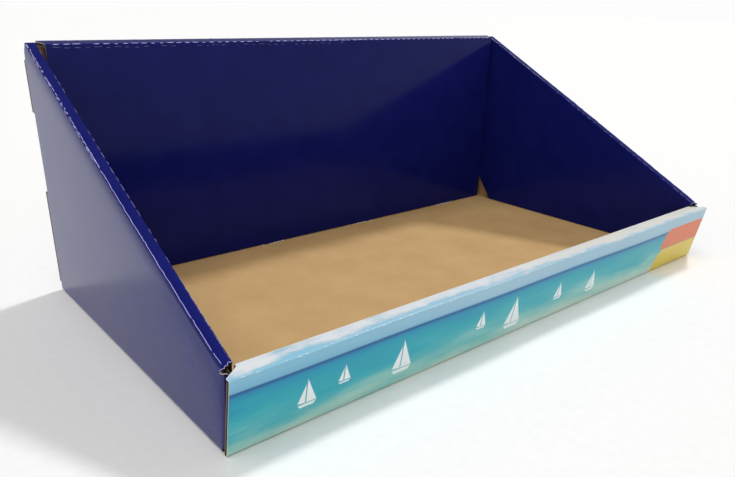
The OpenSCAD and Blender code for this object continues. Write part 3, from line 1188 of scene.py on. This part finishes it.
def end_line(lines, parts, at_first, depth=0.0):
    """Points along a cut end of a strip, at a depth below its printed side, over the given parts."""
    chosen = [line for line in lines if line.part in parts]
    out = 1 - depth / board_t
    return [((line.first if at_first else line.last) + line.lift * out, line.facing) for line in chosen]


print("A crease of the left wall starts at", crease_line(side_lines["left"], LEDGE_CREASE)[0][0])

# %% [markdown]
# On the back half of a side ridge the slits opened into two rows. Towards the front they close up,
# and only one thin wavy line is left, which the lip tree makes. Both the rows and the line are torn paper
# and painted highlight: their pale tone stands in for the shine along the bend.
# The inner creases of the sides turn less sharply and show only a few fine marks.

# %% Slits and painted highlights on the side ridges
BACK_PART = {"left": (0.015, 0.46), "right": (0.54, 0.985)}
FRONT_PART = {"left": (0.4, 0.99), "right": (0.01, 0.6)}
WHOLE = {name: MOST_OF_IT for name in SIDES}


def on_both_sides(part, turn, reach):
    """The same line of both side walls."""
    return [crease_line(side_lines[name], part, turn, reach[name]) for name in SIDES]


upper_row = on_both_sides(LEDGE_CREASE, 0.85, BACK_PART)
lower_row = on_both_sides(LEDGE_CREASE, 0.4, BACK_PART)
front_row = on_both_sides(LEDGE_CREASE, 0.7, FRONT_PART)
inner_marks = on_both_sides(SIDE_INNER_CREASE, 0.3, WHOLE)
# The ridge rows and the front line are torn paper and painted highlight of the bend.
pieces += [
    laid("ridge_upper_slits_and_highlight", slits, upper_row, Paper=tinted_paper_and_highlight,
         Pitch=6 * MM, Length=8 * MM, Width=0.62 * MM, Share=0.92),
    laid("ridge_lower_slits_and_highlight", slits, lower_row, Paper=tinted_paper_and_highlight,
         Pitch=9 * MM, Length=8 * MM, Width=0.5 * MM, Share=0.8, Seed=9),
    laid("ridge_front_lip_and_highlight", lips, front_row, Paper=tinted_paper_and_highlight,
         Radius=0.26 * MM, Step=1.2 * MM, Wobble=1.1 * MM),
    laid("ridge_inner_slits", slits, inner_marks, Paper=tinted_paper_and_highlight,
         Pitch=9 * MM, Length=8 * MM, Width=0.24 * MM, Ragged=0.3 * MM, Share=0.7, Seed=2),
]

# %% [markdown]
# The back ledge folds down along a full row of slits, with a fainter rubbed row just below it
# on the inner panel. Its outer crease, at the top of the back, has smaller ones.

# %% Slits on the back ledge
RUBBED_PART = (0.45, 0.985)
back_row = crease_line(back_lines, BACK_INNER_CREASE, turn=0.35)
back_rubbed = crease_line(back_lines, BACK_INNER_PANEL, turn=0.02, reach=RUBBED_PART)
back_outer_row = crease_line(back_lines, BACK_LEDGE_CREASE)
pieces += [
    laid("back_ledge_slits", slits, [back_row], Paper=tinted_paper_and_highlight, Width=0.9 * MM, Share=0.95),
    laid("back_rubbed_marks", slits, [back_rubbed], Paper=rubbed_ink,
         Width=0.7 * MM, Height=0.15 * MM, Sway=0.6 * MM, Share=0.75, Seed=6),
    laid("back_top_slits", slits, [back_outer_row], Paper=tinted_paper_and_highlight,
         Length=4 * MM, Width=0.4 * MM, Share=0.5, Seed=7),
]

# %% [markdown]
# On the front, the outer crease of the ledge has small bright dots, and the inner one a thin white line of
# painted highlight.
# Pale lips run along the mitred ends of the ledge, round the front ends of the side ledges,
# and along the top of the corner flaps, where they ring the gap in each front corner.

# %% Slits, lips and a painted highlight at the front
NEARLY_ALL = (0.002, 0.998)
FRONT_LEDGE_PARTS = (LEDGE_CREASE, LEDGE, INNER_CREASE)
SIDE_LEDGE_PARTS = range(LEDGE_CREASE, SIDE_INNER_CREASE + 1)
FLAP_PARTS = (0, 1, 2, 3)
front_dots = crease_line(front_lines, LEDGE_CREASE, turn=0.6)
front_highlight = crease_line(front_lines, INNER_CREASE, turn=0.4, reach=NEARLY_ALL, stations=120)
mitre_lips = [end_line(front_lines, FRONT_LEDGE_PARTS, at_first) for at_first in (True, False)]
ledge_lips, flap_lips = [], []
for name, sign in SIDES.items():
    ledge_lips.append(end_line(side_lines[name], SIDE_LEDGE_PARTS, at_first=sign < 0))
    for depth in (0.0, board_t):
        flap_lips.append(end_line(front_flap_lines[name], FLAP_PARTS, at_first=sign > 0, depth=depth))
pieces += [
    laid("front_crease_slits", slits, [front_dots], Paper=white_paper_and_highlight,
         Pitch=5 * MM, Length=3.5 * MM, Width=0.5 * MM, Sway=0.5 * MM, Share=0.55),
    # A painted highlight: a thin white line along the front inner crease.
    laid("front_crease_painted_highlight", lips, [front_highlight], Paper=white_paper_and_highlight, Radius=0.28 * MM, Step=1.5 * MM),
    laid("mitre_lips", lips, mitre_lips, Paper=white_paper_and_highlight, Radius=0.24 * MM),
    laid("side_ledge_lips", lips, ledge_lips, Paper=tinted_paper_and_highlight, Radius=0.24 * MM),
    laid("flap_lips", lips, flap_lips, Paper=cream_paper, Radius=0.25 * MM),
]

# %% [markdown]
# Where a tab was pushed through the base, its slot tore a little and left a white burr
# along the panel's foot. The slit tree makes these burrs too, on short lines along the slots.

# %% Burrs at the slots
burr_lines = []
for x in tab_places:
    for y, way in ((slot_rows[0] + slot_half[1], 1), (slot_rows[1] - slot_half[1], -1)):
        ends = (x - tab_w / 2, x + tab_w / 2)
        burr_lines.append([(Vector((end, y, board_t)), Vector((0, way, 1)).normalized()) for end in ends])
pieces.append(laid("slot_burrs", slits, burr_lines, Paper=white_paper_and_highlight, Pitch=5 * MM, Width=1.2 * MM))

# %% [markdown]
# Each piece now gets its place in the shared frame. The tray has no joints, so everything rides on one body.
# The folded sheet stands for the CAD solid, which stays hidden for the physics.

# %% Put the pieces in the frame
for piece in pieces:
    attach(piece, "root")
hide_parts("folded_tray")
print("Pieces on the tray:", [piece.name for piece in pieces])

# %% [markdown]
# The stage is a plain pale floor that runs out to the horizon, so the background is pale too.
# Fine noise keeps it from looking like plastic.

# %% Floor
FLOOR_REACH = 40.0
FLOOR_GRAIN = 8 * MM
FLOOR_TONES = [(0.2, "#f5f5f4"), (0.8, "#f9f9f8")]

floor_mesh = bpy.data.meshes.new("floor")
floor_corners = [(x * FLOOR_REACH, y * FLOOR_REACH, 0) for x, y in ((-1, -1), (1, -1), (1, 1), (-1, 1))]
floor_mesh.from_pydata(floor_corners, [], [(0, 1, 2, 3)])
floor_mesh.materials.append(speckled("matt_floor_paint", FLOOR_GRAIN, 2.0, FLOOR_TONES, Roughness=0.9))
floor = bpy.data.objects.new("floor", floor_mesh)
bpy.context.collection.objects.link(floor)
print("Floor:", 2 * FLOOR_REACH, "m across")

# %% [markdown]
# Two sun lamps stand for softboxes, because a sun lights the whole floor evenly. The main one comes from
# the right and a little from behind, and throws the soft shadow of the right and back walls on the kraft.
# The other is very wide and comes from overhead, a little from the left, and fills the shadows.

# %% Lamps


def add_softbox(name, came_from, strength, disc, colour):
    lamp = bpy.data.lights.new(name, "SUN")
    lamp.energy = strength
    lamp.angle = math.radians(disc)
    lamp.color = linear(colour)[:3]
    holder = bpy.data.objects.new(name, lamp)
    holder.rotation_euler = Vector(came_from).to_track_quat("Z", "Y").to_euler()
    bpy.context.collection.objects.link(holder)
    print(name, "from", came_from, "strength", strength)


add_softbox("main_softbox", came_from=(0.60, 0.16, 0.78), strength=1.4, disc=7, colour="#fbfdff")
add_softbox("fill_softbox", came_from=(-0.28, -0.1, 0.95), strength=1.4, disc=50, colour="#fffdfb")

# %% [markdown]
# The world is a room with pale walls low down and a dimmer ceiling. The gloss outside mirrors the walls,
# which gives its sheen, and the ledges stay deep blue under the ceiling.

# %% Room
ROOM_WALLS = "#fdfdfd"
ROOM_CEILING = "#868584"
WALLS_END = 0.2
CEILING_STARTS = 0.42

world = bpy.data.worlds.new("studio")
world.use_nodes = True
room = world.node_tree
room.nodes.clear()
toward = add_node(room, "ShaderNodeTexCoord").outputs["Generated"]
height = add_node(room, "ShaderNodeSeparateXYZ", {0: toward}).outputs["Z"]
shade = add_node(room, "ShaderNodeValToRGB", {0: height})
set_stops(shade, [(WALLS_END, ROOM_WALLS), (CEILING_STARTS, ROOM_CEILING)])
glow = add_node(room, "ShaderNodeBackground", {"Color": shade, "Strength": 1.0})
add_node(room, "ShaderNodeOutputWorld", {0: glow})
bpy.context.scene.world = world
print("Room: walls", ROOM_WALLS, "and ceiling", ROOM_CEILING)

# %% [markdown]
# The camera repeats the photograph. Its place, turn and focal length come from a fit
# of the tray's own corners. The photograph was cropped off centre, and the camera's shift takes that up.

# %% Camera
IMAGE_W, IMAGE_H = 735, 477
FOCAL_PX = 646.06
CENTRE_PX = (343.66, 283.72)
CAMERA_AT = Vector((-449.71, -445.69, 254.46)) * MM
CAMERA_AZIMUTH = math.radians(39.377)
CAMERA_DOWN = math.radians(23.179)
CAMERA_ROLL = math.radians(-1.3026)
NEAREST = 0.01

look = Vector((
    math.sin(CAMERA_AZIMUTH) * math.cos(CAMERA_DOWN),
    math.cos(CAMERA_AZIMUTH) * math.cos(CAMERA_DOWN),
    -math.sin(CAMERA_DOWN),
))
level_right = look.cross(Vector((0, 0, 1))).normalized()
level_down = look.cross(level_right)
right = level_right * math.cos(CAMERA_ROLL) + level_down * math.sin(CAMERA_ROLL)
upward = right.cross(look)
lens = bpy.data.cameras.new("photo_camera")
lens.sensor_fit = "HORIZONTAL"
lens.lens = FOCAL_PX * lens.sensor_width / IMAGE_W
lens.shift_x = (IMAGE_W / 2 - CENTRE_PX[0]) / IMAGE_W
lens.shift_y = (CENTRE_PX[1] - IMAGE_H / 2) / IMAGE_W
lens.clip_start = NEAREST
camera = bpy.data.objects.new("photo_camera", lens)
turn = Matrix((right, upward, -look)).transposed()
camera.matrix_world = Matrix.Translation(CAMERA_AT) @ turn.to_4x4()
bpy.context.collection.objects.link(camera)
bpy.context.scene.camera = camera
bpy.context.scene.view_settings.view_transform = "Standard"
print("Camera: focal length", round(lens.lens, 1), "mm, at", [round(c, 2) for c in CAMERA_AT], "m")
